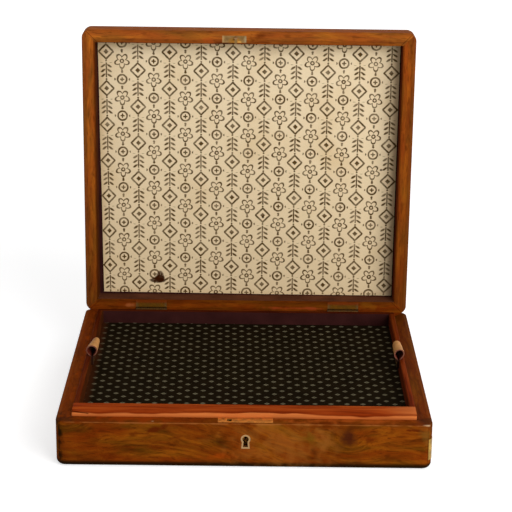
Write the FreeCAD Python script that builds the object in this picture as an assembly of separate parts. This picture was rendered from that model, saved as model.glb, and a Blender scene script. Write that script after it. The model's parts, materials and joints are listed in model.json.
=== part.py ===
"""Low wooden collector box with a hinged lid, a lift-out tray and a sideways-bolt box lock.

Millimetres, +Z up, +Y towards the hinges, +X to the right of somebody facing the lock.
The origin is the centre of the underside. The lid is modelled shut, where its joints with
the base are easy to read, and is then swung open to the angle at which it rests.
"""
import FreeCAD, Part
import math
import os

V = FreeCAD.Vector
X_AXIS = V(1, 0, 0)
Y_AXIS = V(0, 1, 0)
Z_AXIS = V(0, 0, 1)

# Outer box
box_width = 312.0
box_depth = 276.0
base_height = 40.0
wall = 12.0
corner_radius = 8.0
edge_radius = 5.0
arris_radius = 0.8
half_width = box_width / 2
half_depth = box_depth / 2
inner_x = half_width - wall
inner_y = half_depth - wall

# Base inside
bottom_thickness = 5.0
bottom_rabbet = 5.0
lining = 0.4
ledge_thickness = 3.0

# Lid
rim_gap = 0.2
lid_rim_z = base_height + rim_gap
lid_hollow_depth = 17.0
lid_panel_thickness = 7.0
lid_ceiling_z = lid_rim_z + lid_hollow_depth
lid_top_z = lid_ceiling_z + lid_panel_thickness
lid_paper_margin = 1.0

# Hinges: the bevelled back edges stop the lid just past upright
open_angle = 91.0
bevel_slack = 0.3
bevel_angle = open_angle / 2 + bevel_slack
hinge_inset = 1.6
hinge_y = half_depth - hinge_inset
hinge_z = base_height + rim_gap / 2
hinge_centres = {"left": -92.5, "right": 94.5}
leaf_length = 30.0
leaf_width = 9.6
leaf_thickness = 1.6
knuckle_radius = 2.2
knuckle_groove = 0.25
knuckle_count = 5
knuckle_gap = 0.2
pin_radius = 0.9
pin_running_clearance = 0.05
leaf_screw_offset = 11.6
slot_width = 0.45
slot_depth = 0.45

# Tray
tray_gap = 0.7
tray_proud = 4.5
tray_top_z = base_height + tray_proud
tray_half_x = inner_x - tray_gap
tray_half_y = inner_y - tray_gap
tray_height = 16.0
tray_under_z = tray_top_z - tray_height
tray_front_rail = 17.0
tray_rail = 4.3
tray_board = 3.1
tray_rabbet = 2.0
tray_edge_radius = 0.7
tray_floor_z = tray_under_z + tray_board + lining
tray_lining_drop = 0.6

# Leather pull loops on the tray
loop_x = 137.8
loop_z = 49.8
loop_outer_radius = 4.9
leather = 1.2
loop_front_y = -1.0
loop_length = 23.5
loop_neck_angle = 38.0
loop_tail_bottom_z = 36.0
loop_pocket_slack = 0.3
tack_inset = 5.0

# Lock in the front board
lock_left = -21.8
lock_right = 23.8
lock_bottom_z = 14.0
selvage_front_y = -half_depth + 2.8
selvage_thickness = 2.0
lock_plate = 1.2
case_left = -17.0
case_right = 19.0
case_front_y = -half_depth + 3.8
case_wall = 0.8
lock_inner_y = -inner_y
lock_plate_y = lock_inner_y - lock_plate
staple_x = -12.3
staple_y = -130.3
staple_thickness = 2.4
staple_width = 4.6
staple_tip_z = 28.8
staple_eye_width = 2.8
staple_eye_height = 4.2
bolt_z = 32.4
bolt_height = 3.0
bolt_thickness = 2.2
bolt_throw = 5.5
bolt_tip_x = -10.2
bolt_tail_left = -1.5
bolt_tail_right = 16.6
stud_x = 8.0
stud_radius = 1.2
slot_clearance = 0.2

# Keyhole and its thread escutcheon
key_x = 1.3
key_z = 26.2
key_radius = 2.6
key_neck = 1.6
key_foot = 2.1
key_drop = 7.0
escutcheon_wall = 1.4
escutcheon_depth = 3.0
key_pin_radius = 0.9

# Strike plate in the lid's front rail
strike_left = -25.0
strike_right = -2.5
strike_front_y = -133.6
strike_back_y = -127.0
strike_thickness = 1.4
staple_root_left = -16.0
staple_root_right = -7.6
strike_screw_x = (-21.6, -4.7)

# Brass corner guard on the right front corner
guard_low_z = 8.6
guard_high_z = 27.0
guard_proud = 0.3
guard_let_in = 0.5
guard_start_angle = 37.0
guard_back_y = -114.0
guard_pin_y = -117.5
guard_pin_z = (12.0, 23.6)
guard_pin_radius = 1.3

FAR = 400.0
pieces = {}


def box(x0, x1, y0, y1, z0, z1):
    return Part.makeBox(x1 - x0, y1 - y0, z1 - z0, V(x0, y0, z0))


def rod(radius, start, direction, length):
    return Part.makeCylinder(radius, length, start, direction)


def prism(points, direction):
    """A straight prism on a flat outline of corner points."""
    return Part.Face(Part.makePolygon(points + points[:1])).extrude(direction)


def rounded_slab(half_x, half_y, z0, z1, radius):
    """A slab whose four upright edges are rounded."""
    slab = box(-half_x, half_x, -half_y, half_y, z0, z1)
    upright = [e for e in slab.Edges if abs(e.tangentAt(e.FirstParameter).z) > 0.9]
    return slab.makeFillet(radius, upright)


def round_level_edges(solid, z, radius):
    """Round all the edges that lie at one height."""
    edges = [e for e in solid.Edges if abs(e.BoundBox.ZMin - z) < 1e-6 and abs(e.BoundBox.ZMax - z) < 1e-6]
    return solid.makeFillet(radius, edges)


def mitre_wedge(side):
    """The plan trapezium that one mitred wall fills, taller and deeper than the wall."""
    spill = 20.0
    out_x = half_width + spill
    out_y = half_depth + spill
    in_x = half_width - wall - spill
    in_y = half_depth - wall - spill
    corners = {
        "front": [(-out_x, -out_y), (out_x, -out_y), (in_x, -in_y), (-in_x, -in_y)],
        "back": [(-out_x, out_y), (out_x, out_y), (in_x, in_y), (-in_x, in_y)],
        "left": [(-out_x, -out_y), (-out_x, out_y), (-in_x, in_y), (-in_x, -in_y)],
        "right": [(out_x, -out_y), (out_x, out_y), (in_x, in_y), (in_x, -in_y)],
    }
    return prism([V(x, y, -FAR / 2) for x, y in corners[side]], V(0, 0, FAR))


def screw_blank(head_centre, direction, head_radius=1.6, length=7.0):
    """Countersunk wood screw with no slot, which is also the shape of its hole.

    The direction points from its head to its tip."""
    head_height = 1.1
    shank_radius = 0.8
    cone = Part.makeCone(head_radius, shank_radius, head_height)
    shank = rod(shank_radius, V(0, 0, head_height), Z_AXIS, length - 2.5 * head_height)
    tip = Part.makeCone(shank_radius, 0.2, 1.5 * head_height, V(0, 0, length - 1.5 * head_height))
    blank = cone.fuse(shank).fuse(tip).removeSplitter()
    blank.Placement = FreeCAD.Placement(head_centre, FreeCAD.Rotation(Z_AXIS, direction))
    return blank


def slotted(blank, turn):
    """The same screw with its driver slot, turned by an angle about its own axis."""
    reach = 3.0
    slot = box(-reach, reach, -slot_width / 2, slot_width / 2, -0.1, slot_depth)
    slot.rotate(V(0, 0, 0), Z_AXIS, turn)
    slot.Placement = blank.Placement.multiply(slot.Placement)
    return blank.cut(slot)


def slotted_group(blanks):
    """Screws as driven by hand: each slot stops at its own angle."""
    return group([slotted(blank, 20 + 47 * i) for i, blank in enumerate(blanks)])


def cut_all(solid, cutters):
    for cutter in cutters:
        solid = solid.cut(cutter)
    return solid


def group(solids):
    return Part.makeCompound(solids)


def keyhole_outline(grow, y):
    """A round with a flaring slot below it, in the plane at y, grown outwards all round."""
    r = key_radius + grow
    neck = key_neck + grow
    foot = key_foot + grow
    low = key_z - key_drop - grow
    neck_z = key_z - math.sqrt(r * r - neck * neck)
    left = V(key_x - neck, y, neck_z)
    right = V(key_x + neck, y, neck_z)
    foot_left = V(key_x - foot, y, low)
    foot_right = V(key_x + foot, y, low)
    arc = Part.Arc(left, V(key_x, y, key_z + r), right).toShape()
    sides = [
        Part.makeLine(right, foot_right),
        Part.makeLine(foot_right, foot_left),
        Part.makeLine(foot_left, left),
    ]
    return Part.Wire([arc] + sides)


def keyhole_plug(grow, y0, y1):
    return Part.Face(keyhole_outline(grow, y0)).extrude(V(0, y1 - y0, 0))


def bevel_cutter(side):
    """The wedge planed off the back edge: side -1 for the base, +1 for the shut lid."""
    reach = 12.0
    drop = reach * math.tan(math.radians(bevel_angle))
    corners = [
        V(-FAR / 2, hinge_y, hinge_z),
        V(-FAR / 2, hinge_y + reach, hinge_z + side * drop),
        V(-FAR / 2, hinge_y + reach, hinge_z - side * reach),
        V(-FAR / 2, hinge_y, hinge_z - side * reach),
    ]
    return prism(corners, V(FAR, 0, 0))


def knuckle_spans(centre, owner):
    """The stretches of the barrel along X that belong to one leaf."""
    pitch = leaf_length / knuckle_count
    first = 0 if owner == "base" else 1
    spans = []
    for i in range(first, knuckle_count, 2):
        start = centre - leaf_length / 2 + i * pitch
        spans.append((start + knuckle_gap / 2, start + pitch - knuckle_gap / 2))
    return spans


def hinge_leaf(centre, owner):
    """A leaf let into the rim, with its knuckles round the pin."""
    if owner == "base":
        z0, z1 = base_height - leaf_thickness, base_height
        bore = pin_radius
    else:
        z0, z1 = lid_rim_z, lid_rim_z + leaf_thickness
        bore = pin_radius + pin_running_clearance
    other = "lid" if owner == "base" else "base"
    left = centre - leaf_length / 2
    leaf = box(left, left + leaf_length, hinge_y - leaf_width, hinge_y, z0, z1)
    pitch = leaf_length / knuckle_count
    for x0, x1 in knuckle_spans(centre, other):
        reach = knuckle_radius + knuckle_groove
        notch_left = max(x0 - knuckle_gap, left - 1.0)
        notch_right = min(x1 + knuckle_gap, left + leaf_length + 1.0)
        notch = box(notch_left, notch_right, hinge_y - reach, hinge_y + reach, hinge_z - reach, hinge_z + reach)
        leaf = leaf.cut(notch)
    for x0, x1 in knuckle_spans(centre, owner):
        leaf = leaf.fuse(rod(knuckle_radius, V(x0, hinge_y, hinge_z), X_AXIS, x1 - x0))
    leaf = leaf.cut(rod(bore, V(left - 1, hinge_y, hinge_z), X_AXIS, leaf_length + 2))
    return leaf.removeSplitter()


def leaf_recess(centre, owner):
    """What is cut from the rim for one leaf and for the whole barrel."""
    if owner == "base":
        z0, z1 = base_height - leaf_thickness, base_height + rim_gap
    else:
        z0, z1 = lid_rim_z - rim_gap, lid_rim_z + leaf_thickness
    left = centre - leaf_length / 2
    seat = box(left, left + leaf_length, hinge_y - leaf_width, hinge_y + 0.01, z0, z1)
    groove_radius = knuckle_radius + knuckle_groove
    groove = rod(groove_radius, V(left - knuckle_gap, hinge_y, hinge_z), X_AXIS, leaf_length + 2 * knuckle_gap)
    behind = box(left - knuckle_gap, left + leaf_length + knuckle_gap, hinge_y, hinge_y + 10,
                 hinge_z - groove_radius, hinge_z + groove_radius)
    return [seat, groove, behind]


def leaf_screws(centre, owner):
    y = hinge_y - leaf_width / 2 - 1.4
    if owner == "base":
        z, direction = base_height, V(0, 0, -1)
    else:
        z, direction = lid_rim_z, V(0, 0, 1)
    offsets = (-leaf_screw_offset, leaf_screw_offset)
    return [screw_blank(V(centre + dx, y, z), direction) for dx in offsets]


# Base carcass: one rounded block, hollowed, then parted into four mitred boards
carcass = rounded_slab(half_width, half_depth, 0, base_height, corner_radius)
carcass = round_level_edges(carcass, 0, edge_radius)
carcass = round_level_edges(carcass, base_height, arris_radius)
carcass = carcass.cut(box(-inner_x, inner_x, -inner_y, inner_y, -1, base_height + 1))
bottom_half_x = inner_x + bottom_rabbet
bottom_half_y = inner_y + bottom_rabbet
bottom_board = box(-bottom_half_x, bottom_half_x, -bottom_half_y, bottom_half_y, 0, bottom_thickness)
carcass = carcass.cut(bottom_board)
carcass = carcass.cut(bevel_cutter(-1))

# Lid carcass, shut: rails round the hollow, and a board laid over them
lid_block = rounded_slab(half_width, half_depth, lid_rim_z, lid_top_z, corner_radius)
lid_block = round_level_edges(lid_block, lid_top_z, edge_radius)
lid_block = round_level_edges(lid_block, lid_rim_z, arris_radius)
lid_panel = lid_block.common(box(-FAR, FAR, -FAR, FAR, lid_ceiling_z, lid_top_z + 1))
lid_frame = lid_block.common(box(-FAR, FAR, -FAR, FAR, 0, lid_ceiling_z))
lid_frame = lid_frame.cut(box(-inner_x, inner_x, -inner_y, inner_y, 0, lid_top_z))
lid_frame = lid_frame.cut(bevel_cutter(1))

base_walls = {side: carcass.common(mitre_wedge(side)) for side in ("front", "back", "left", "right")}
lid_walls = {side: lid_frame.common(mitre_wedge(side)) for side in ("front", "back", "left", "right")}

# Hinges
base_hinge_screws = []
lid_hinge_screws = []
lid_pieces = {}
for side, centre in hinge_centres.items():
    for owner, walls, screws in (("base", base_walls, base_hinge_screws), ("lid", lid_walls, lid_hinge_screws)):
        leaf = hinge_leaf(centre, owner)
        own_screws = leaf_screws(centre, owner)
        walls["back"] = cut_all(walls["back"], leaf_recess(centre, owner) + own_screws)
        leaf = cut_all(leaf, own_screws)
        screws.extend(own_screws)
        if owner == "base":
            pieces["hinge_" + side + "_base_leaf"] = leaf
        else:
            lid_pieces["hinge_" + side + "_lid_leaf"] = leaf
    pin_start = V(centre - leaf_length / 2, hinge_y, hinge_z)
    pieces["hinge_" + side + "_pin"] = rod(pin_radius, pin_start, X_AXIS, leaf_length)
pieces["hinge_screws_base"] = slotted_group(base_hinge_screws)
lid_pieces["hinge_screws_lid"] = slotted_group(lid_hinge_screws)

# Lock: an L-shaped plate, a case behind it, and the bolt that slides inside
selvage = box(lock_left, lock_right, selvage_front_y, lock_inner_y, base_height - selvage_thickness, base_height)
face_plate = box(lock_left, lock_right, lock_plate_y, lock_inner_y, lock_bottom_z, base_height)
lock_face = selvage.fuse(face_plate).removeSplitter()
slot_half_x = 1.9
slot_half_y = staple_width / 2 + 0.4
staple_slot = box(staple_x - slot_half_x, staple_x + slot_half_x, staple_y - slot_half_y,
                  staple_y + slot_half_y, base_height - 5, base_height + 1)
lock_screw_places = [(x, z) for x in (-19.4, 21.4) for z in (19.5, 33.0)]
lock_screws = [screw_blank(V(x, lock_inner_y, z), V(0, -1, 0), 1.4, 6.0) for x, z in lock_screw_places]
lock_face = cut_all(lock_face, [staple_slot] + lock_screws)

selvage_under_z = base_height - selvage_thickness
case_outside = box(case_left, case_right, case_front_y, lock_plate_y, lock_bottom_z + 1, selvage_under_z)
case_inside = box(case_left + case_wall, case_right - case_wall, case_front_y + case_wall, lock_plate_y + 1,
                  lock_bottom_z + 1 + case_wall, selvage_under_z + 1)
lock_case = case_outside.cut(case_inside)
lock_case = lock_case.cut(keyhole_plug(0.2, case_front_y - 1, case_front_y + 2))
stud_start = V(stud_x, case_front_y + case_wall / 2, bolt_z)
stud = rod(stud_radius, stud_start, Y_AXIS, lock_plate_y - stud_start.y)
lock_case = lock_case.fuse(stud).removeSplitter()

key_pin_tip_y = -half_depth + 1.2
key_pin = rod(key_pin_radius, V(key_x, lock_plate_y, key_z), V(0, -1, 0), lock_plate_y - key_pin_tip_y)

bolt_gap = 0.2
tail = box(bolt_tail_left, bolt_tail_right, case_front_y + case_wall + bolt_gap, lock_plate_y - bolt_gap,
           bolt_z - bolt_height, bolt_z + bolt_height)
head = box(bolt_tip_x, bolt_tail_left + 1, staple_y - bolt_thickness / 2, staple_y + bolt_thickness / 2,
           bolt_z - bolt_height / 2, bolt_z + bolt_height / 2)
guide_reach = stud_radius + slot_clearance
guide_slot = box(stud_x - guide_reach, stud_x + bolt_throw + guide_reach, -half_depth, 0,
                 bolt_z - guide_reach, bolt_z + guide_reach)
talon = box(key_x - 1.8, key_x + 1.8, -half_depth, 0, bolt_z - bolt_height - 1, bolt_z - bolt_height + 1.5)
lock_bolt = tail.fuse(head).cut(guide_slot).cut(talon).removeSplitter()

spring_width = 4.0
spring_strip = 0.4
spring_root = V(bolt_tail_right - 1.6, staple_y - spring_width / 2, bolt_z + bolt_height)
spring_tip = V(bolt_tail_left + 3.0, spring_root.y, selvage_under_z - 0.5)
spring_mid = V((spring_root.x + spring_tip.x) / 2, spring_root.y, spring_tip.z - 0.35)
rise = V(0, 0, spring_strip)
spring_edges = [
    Part.Arc(spring_root, spring_mid, spring_tip).toShape(),
    Part.makeLine(spring_tip, spring_tip + rise),
    Part.Arc(spring_tip + rise, spring_mid + rise, spring_root + V(1.2, 0, 0)).toShape(),
    Part.makeLine(spring_root + V(1.2, 0, 0), spring_root),
]
lock_spring = Part.Face(Part.Wire(spring_edges)).extrude(V(0, spring_width, 0))

escutcheon = keyhole_plug(escutcheon_wall, -half_depth, -half_depth + escutcheon_depth)
escutcheon = escutcheon.cut(keyhole_plug(0, -half_depth - 1, -half_depth + escutcheon_depth + 1))

mortise = box(case_left, case_right, case_front_y, -inner_y, lock_bottom_z + 1, base_height)
lock_room = [
    mortise,
    box(lock_left, lock_right, selvage_front_y, -inner_y, selvage_under_z, base_height + 1),
    box(lock_left, lock_right, lock_plate_y, -inner_y, lock_bottom_z, base_height + 1),
    keyhole_plug(escutcheon_wall, -half_depth - 1, -half_depth + escutcheon_depth),
    keyhole_plug(0, -half_depth, case_front_y + 1),
]
base_walls["front"] = cut_all(base_walls["front"], lock_room + lock_screws)

pieces["lock_face_plate"] = lock_face
pieces["lock_case"] = lock_case
pieces["lock_key_pin"] = key_pin
pieces["lock_screws"] = slotted_group(lock_screws)
pieces["lock_bolt"] = lock_bolt
pieces["lock_bolt_spring"] = lock_spring
pieces["keyhole_escutcheon"] = escutcheon

# Strike plate and staple in the lid
strike_top_z = lid_rim_z + strike_thickness
strike = box(strike_left, strike_right, strike_front_y, strike_back_y, lid_rim_z, strike_top_z)
root = box(staple_root_left, staple_root_right, staple_y - staple_width / 2, staple_y + staple_width / 2,
           lid_rim_z, strike_top_z)
blade = box(staple_x - staple_thickness / 2, staple_x + staple_thickness / 2, staple_y - staple_width / 2,
            staple_y + staple_width / 2, staple_tip_z, lid_rim_z)
eye = box(staple_x - 3, staple_x + 3, staple_y - staple_eye_width / 2, staple_y + staple_eye_width / 2,
          bolt_z - staple_eye_height / 2, bolt_z + staple_eye_height / 2)
staple = root.fuse(blade).cut(eye).removeSplitter()
strike_y = (strike_front_y + strike_back_y) / 2
strike_screws = [screw_blank(V(x, strike_y, lid_rim_z), Z_AXIS, 1.7) for x in strike_screw_x]
lid_walls["front"] = cut_all(lid_walls["front"], [strike] + strike_screws)
lid_pieces["strike_plate"] = cut_all(strike, [root] + strike_screws)
lid_pieces["strike_staple"] = staple
lid_pieces["strike_screws"] = slotted_group(strike_screws)

# Corner guard: a band round the corner, half let into the wood
guard_out = rounded_slab(half_width + guard_proud, half_depth + guard_proud, guard_low_z, guard_high_z,
                         corner_radius + guard_proud)
guard_in = rounded_slab(half_width - guard_let_in, half_depth - guard_let_in, guard_low_z - 1, guard_high_z + 1,
                        corner_radius - guard_let_in)
corner_x = half_width - corner_radius
corner_y = -half_depth + corner_radius
start = math.radians(guard_start_angle)
ray = 20.0
guard_plan = [
    V(corner_x, corner_y, 0),
    V(corner_x + ray * math.sin(start), corner_y - ray * math.cos(start), 0),
    V(half_width + ray, corner_y - ray * math.cos(start), 0),
    V(half_width + ray, guard_back_y, 0),
    V(corner_x, guard_back_y, 0),
]
guard_zone = prism(guard_plan, V(0, 0, base_height))
corner_guard = guard_out.cut(guard_in).common(guard_zone)
guard_pins = []
for z in guard_pin_z:
    surface = V(half_width + guard_proud, guard_pin_y, z)
    dome = Part.makeSphere(2.0, surface - V(1.5, 0, 0)).common(rod(guard_pin_radius, surface, X_AXIS, 2))
    shank = rod(0.6, surface - V(7, 0, 0), X_AXIS, 7)
    guard_pins.append(dome.fuse(shank).removeSplitter())
base_walls["front"] = base_walls["front"].cut(corner_guard)
base_walls["right"] = cut_all(base_walls["right"], [corner_guard] + guard_pins)
pieces["corner_guard"] = cut_all(corner_guard, guard_pins)
pieces["corner_guard_pins"] = group(guard_pins)

# Boards, floor and the ledges that carry the tray
for side, solid in base_walls.items():
    pieces["base_" + side + "_board"] = solid
pieces["base_bottom_board"] = bottom_board
floor_top = bottom_thickness + lining
pieces["base_floor_lining"] = box(-inner_x, inner_x, -inner_y, inner_y, bottom_thickness, floor_top)
ledge_x = inner_x - ledge_thickness
ledge_y = inner_y - ledge_thickness
front_ledge = box(-inner_x, inner_x, -inner_y, -ledge_y, floor_top, tray_under_z)
lock_window = box(lock_left - 1, lock_right + 1, -inner_y - 1, -ledge_y + 1, lock_bottom_z - 1, tray_under_z + 1)
pieces["tray_ledge_front"] = front_ledge.cut(lock_window)
pieces["tray_ledge_back"] = box(-inner_x, inner_x, ledge_y, inner_y, floor_top, tray_under_z)
pieces["tray_ledge_left"] = box(-inner_x, -ledge_x, -ledge_y, ledge_y, floor_top, tray_under_z)
pieces["tray_ledge_right"] = box(ledge_x, inner_x, -ledge_y, ledge_y, floor_top, tray_under_z)

# Lid boards and linings
for side, solid in lid_walls.items():
    lid_pieces["lid_" + side + "_rail"] = solid
lid_pieces["lid_top_panel"] = lid_panel
paper_x = inner_x - lining - lid_paper_margin
paper_y = inner_y - lining - lid_paper_margin
paper_low_z = lid_ceiling_z - lining
lid_pieces["lid_printed_lining"] = box(-paper_x, paper_x, -paper_y, paper_y, paper_low_z, lid_ceiling_z)
lip = lid_rim_z + 0.5
lid_strips = [
    box(-inner_x, inner_x, -inner_y, -inner_y + lining, lip, lid_ceiling_z),
    box(-inner_x, inner_x, inner_y - lining, inner_y, lip, lid_ceiling_z),
    box(-inner_x, -inner_x + lining, -inner_y + lining, inner_y - lining, lip, lid_ceiling_z),
    box(inner_x - lining, inner_x, -inner_y + lining, inner_y - lining, lip, lid_ceiling_z),
]
lid_pieces["lid_wall_lining"] = group(lid_strips)

# The lid swings open about the hinge pins
hinge_point = V(0, hinge_y, hinge_z)
for name, shape in lid_pieces.items():
    opened = shape.copy()
    opened.rotate(hinge_point, X_AXIS, -open_angle)
    pieces[name] = opened


def tray_bar(x0, x1, y0, y1):
    """A rail of the tray, its long top edges eased."""
    bar = box(x0, x1, y0, y1, tray_under_z, tray_top_z)
    edges = [e for e in bar.Edges if abs(e.BoundBox.ZMin - tray_top_z) < 1e-6]
    return bar.makeFillet(tray_edge_radius, edges)


# Tray: front and back rails run the full width, side rails stand between them
tray_in_x = tray_half_x - tray_rail
tray_front_in = -tray_half_y + tray_front_rail
tray_back_in = tray_half_y - tray_rail
rails = {
    "front": tray_bar(-tray_half_x, tray_half_x, -tray_half_y, tray_front_in),
    "back": tray_bar(-tray_half_x, tray_half_x, tray_back_in, tray_half_y),
    "left": tray_bar(-tray_half_x, -tray_in_x, tray_front_in, tray_back_in),
    "right": tray_bar(tray_in_x, tray_half_x, tray_front_in, tray_back_in),
}
floor_board = box(-tray_in_x - tray_rabbet, tray_in_x + tray_rabbet, tray_front_in - tray_rabbet,
                  tray_back_in + tray_rabbet, tray_under_z, tray_under_z + tray_board)
floor_top = tray_under_z + tray_board
lining_top = tray_top_z - tray_lining_drop
tray_strips = [
    box(-tray_in_x, tray_in_x, tray_front_in, tray_front_in + lining, tray_floor_z, lining_top),
    box(-tray_in_x, tray_in_x, tray_back_in - lining, tray_back_in, tray_floor_z, lining_top),
    box(-tray_in_x, -tray_in_x + lining, tray_front_in + lining, tray_back_in - lining, tray_floor_z, lining_top),
    box(tray_in_x - lining, tray_in_x, tray_front_in + lining, tray_back_in - lining, tray_floor_z, lining_top),
]


def teardrop(radius, tail_half, y):
    """The loop's outline seen from the front: a round drawn down into a straight tail."""
    angle = math.radians(loop_neck_angle)
    tip_drop = radius / math.sin(angle)
    touch_x = radius * math.cos(angle)
    touch_z = loop_z - radius * math.sin(angle)
    neck_z = loop_z - tip_drop + tail_half / math.tan(angle)
    left = V(loop_x - touch_x, y, touch_z)
    right = V(loop_x + touch_x, y, touch_z)
    edges = [Part.Arc(left, V(loop_x, y, loop_z + radius), right).toShape()]
    if tail_half > 0:
        foot = [V(loop_x + tail_half, y, neck_z), V(loop_x + tail_half, y, loop_tail_bottom_z),
                V(loop_x - tail_half, y, loop_tail_bottom_z), V(loop_x - tail_half, y, neck_z)]
    else:
        foot = [V(loop_x, y, neck_z)]
    corners = [right] + foot + [left]
    for a, b in zip(corners, corners[1:]):
        edges.append(Part.makeLine(a, b))
    return Part.Wire(edges)


def pull_loop():
    """A leather strap bent round on itself, its two ends glued together as a tail."""
    outside = Part.Face(teardrop(loop_outer_radius, leather, loop_front_y))
    inside = Part.Face(teardrop(loop_outer_radius - leather, 0, loop_front_y))
    return outside.cut(inside).extrude(V(0, loop_length, 0))


tack_places = [(loop_front_y + dy, loop_tail_bottom_z + 3.0) for dy in (tack_inset, loop_length - tack_inset)]
loop_pocket = box(loop_x, loop_x + leather, loop_front_y, loop_front_y + loop_length,
                  loop_tail_bottom_z, tray_top_z + 1)
neck_room = box(loop_x - leather - 1, loop_x + leather + 1.0, loop_front_y - loop_pocket_slack,
                loop_front_y + loop_length + loop_pocket_slack, tray_top_z - 3.2, tray_top_z + 1)
lining_notch = box(tray_in_x - 1, tray_in_x + 1, loop_front_y, loop_front_y + loop_length,
                   loop_tail_bottom_z, tray_top_z + 1)
mirror_plane = (V(0, 0, 0), X_AXIS)
right_loop = pull_loop()
right_tacks = []
for y, z in tack_places:
    face = V(loop_x - leather, y, z)
    dome = Part.makeSphere(1.8, face + V(1.2, 0, 0)).common(rod(1.4, face, V(-1, 0, 0), 2))
    right_tacks.append(dome.fuse(rod(0.5, face, X_AXIS, 4.6)).removeSplitter())
right_loop = cut_all(right_loop, right_tacks)
hidden_by_rail = [loop_pocket, neck_room, right_loop] + right_tacks
for side in ("left", "right"):
    for cutter in hidden_by_rail:
        if side == "left":
            cutter = cutter.mirror(*mirror_plane)
        rails[side] = rails[side].cut(cutter)
tray_strips[3] = tray_strips[3].cut(lining_notch)
tray_strips[2] = tray_strips[2].cut(lining_notch.mirror(*mirror_plane))
for side in rails:
    pieces["tray_" + side + "_rail"] = rails[side].cut(floor_board)
pieces["tray_floor_board"] = floor_board
pieces["tray_patterned_lining"] = box(-tray_in_x, tray_in_x, tray_front_in, tray_back_in, floor_top, tray_floor_z)
pieces["tray_wall_lining"] = group(tray_strips)
pieces["pull_loop_right"] = right_loop
pieces["pull_loop_left"] = right_loop.mirror(*mirror_plane)
pieces["pull_loop_tacks"] = group(right_tacks + [one.mirror(*mirror_plane) for one in right_tacks])

os.makedirs("parts", exist_ok=True)
for name, shape in sorted(pieces.items()):
    shape.exportStep(os.path.join("parts", name + ".step"))
    print("%-24s solids %2d  valid %s  volume %.1f" % (name, len(shape.Solids), shape.isValid(), shape.Volume))
print("pieces:", len(pieces))
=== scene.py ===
"""Finishes, papers, leather loops and studio for the collector box.

Lengths are metres, unless a name or comment says millimetres, where patterns are laid out.
+X is to the right of somebody facing the lock, +Y towards the hinges, +Z up, and the origin
is the centre of the underside. Patterns are placed as they lie with the lid shut.
"""
import json
import math
from functools import partial

import bpy
from bpy.props import FloatProperty, FloatVectorProperty, PointerProperty
from mathutils import Matrix, Vector


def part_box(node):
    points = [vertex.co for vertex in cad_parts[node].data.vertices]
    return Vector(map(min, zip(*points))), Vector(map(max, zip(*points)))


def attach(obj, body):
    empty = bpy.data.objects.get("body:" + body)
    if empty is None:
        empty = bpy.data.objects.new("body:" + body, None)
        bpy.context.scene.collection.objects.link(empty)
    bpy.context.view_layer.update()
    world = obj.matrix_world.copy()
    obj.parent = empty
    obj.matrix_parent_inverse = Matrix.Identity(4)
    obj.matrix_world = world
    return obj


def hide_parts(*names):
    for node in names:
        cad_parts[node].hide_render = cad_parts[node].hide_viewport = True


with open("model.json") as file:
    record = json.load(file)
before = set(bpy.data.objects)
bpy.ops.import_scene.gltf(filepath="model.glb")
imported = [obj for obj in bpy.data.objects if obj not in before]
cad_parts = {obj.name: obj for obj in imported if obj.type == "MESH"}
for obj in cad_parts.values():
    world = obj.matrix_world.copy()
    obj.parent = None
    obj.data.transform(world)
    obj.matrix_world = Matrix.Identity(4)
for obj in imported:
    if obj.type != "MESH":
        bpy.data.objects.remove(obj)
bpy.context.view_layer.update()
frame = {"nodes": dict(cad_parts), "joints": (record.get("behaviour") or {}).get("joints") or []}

bl_info = {
    "name": "Collector Box Finishes",
    "version": (1, 0, 0),
    "blender": (4, 5, 0),
    "location": "3D View > Sidebar > Collector Box",
    "description": "Figured walnut, printed papers, leather loops and aged brass for a collector box",
    "category": "Object",
}

MM = 0.001
SAME_PLACE = 1e-6
SMOOTH_ANGLE = math.radians(30)
nodes = frame["nodes"]
lid_hinge = next(joint for joint in frame["joints"] if joint["name"] == "lid_hinge")
hinge_point = Vector(lid_hinge["pos_m"])
open_angle = math.radians(-lid_hinge["range_deg"][0])
base_low, base_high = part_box("base_front_board")
left_low, left_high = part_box("base_left_board")
half_width = base_high.x
half_depth = -base_low.y
wall = left_high.x - left_low.x
half_width_mm = half_width / MM
half_depth_mm = half_depth / MM
wall_mm = wall / MM
rim_mm = hinge_point.z / MM

# The setting that an option of a kind of node stands for
OPTIONS = {"Math": "operation", "VectorMath": "operation", "Mix": "data_type", "UVMap": "uv_map",
           "MapRange": "interpolation_type", "VectorRotate": "rotation_type",
           "TexNoise": "noise_dimensions"}


def srgb(code):
    """A linear colour from an sRGB hex code."""
    shares = [int(code[i:i + 2], 16) / 255 for i in (1, 3, 5)]
    return tuple(s / 12.92 if s <= 0.04045 else ((s + 0.055) / 1.055) ** 2.4 for s in shares)


def add_node(tree, kind, *values, stops=(), **named):
    """Add one shader node with its option, ramp stops, values and links.

    An option follows its kind, as in Mix.RGBA, and alone in capitals it is an operation of the
    Math node. Values go to the enabled sockets in order, and a named one to the socket of that
    name, written with underscores."""
    kind, _, option = ("Math." + kind if kind.isupper() else kind).partition(".")
    made = tree.nodes.new("ShaderNode" + kind)
    if option:
        setattr(made, OPTIONS[kind], option)
    sockets = [socket for socket in made.inputs if socket.enabled]
    by_name = {socket.name.replace(" ", "_"): socket for socket in sockets}
    for socket, value in [*zip(sockets, values), *((by_name[name], named[name]) for name in named)]:
        if isinstance(value, bpy.types.Node):
            value = next(output for output in value.outputs if output.enabled)
        if isinstance(value, bpy.types.NodeSocket):
            tree.links.new(value, socket)
        else:
            socket.default_value = (*value[:3], 1.0) if socket.type == "RGBA" else value
    if stops:
        elements = made.color_ramp.elements
        while len(elements) < len(stops):
            elements.new(0.5)
        for element, (place, colour) in zip(elements, stops):
            element.position = place
            element.color = (*colour[:3], 1.0)
    return made


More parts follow.
